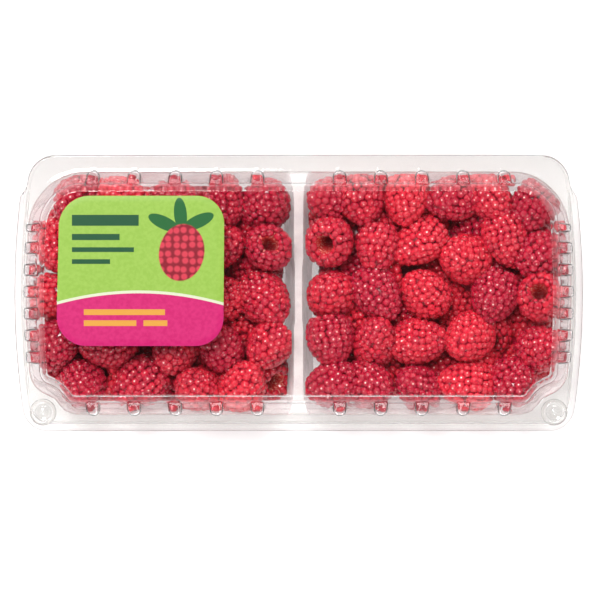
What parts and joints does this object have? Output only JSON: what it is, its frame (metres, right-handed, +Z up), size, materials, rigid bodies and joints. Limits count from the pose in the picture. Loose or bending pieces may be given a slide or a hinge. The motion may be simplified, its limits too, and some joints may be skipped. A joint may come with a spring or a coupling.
{
  "type": "punnet of raspberries",
  "caption": "Shut clear two-compartment clamshell punnet full of raspberries, with a hinged domed lid, vent flutes, snap buttons and a printed label",
  "frame": {"origin": "middle of the pack's box, at the height of its base", "axes": "+Z up, X along the length, +Y towards the lid's hinge; the label is on the -X half"},
  "size_m": [0.241, 0.1168, 0.0452],
  "materials": {
    "clear_tray": "clear thermoformed PET sheet, glossy",
    "clear_lid": "clear thermoformed PET sheet, glossy",
    "berries": "moist soft fruit skin, pinkish red with a light bloom",
    "label": "printed satin label, green with a magenta band"
  },
  "bodies": {
    "tray": {"tray": "clear_tray", "berries_left": "berries", "berries_right": "berries"},
    "lid": {"lid": "clear_lid", "label": "label"}
  },
  "joints": [
    {"name": "lid_hinge", "type": "hinge", "parent": "tray", "child": "lid", "pos_m": [0, 0.0584, 0.03085], "axis": [-1, 0, 0], "range_deg": [0, 180]}
  ]
}
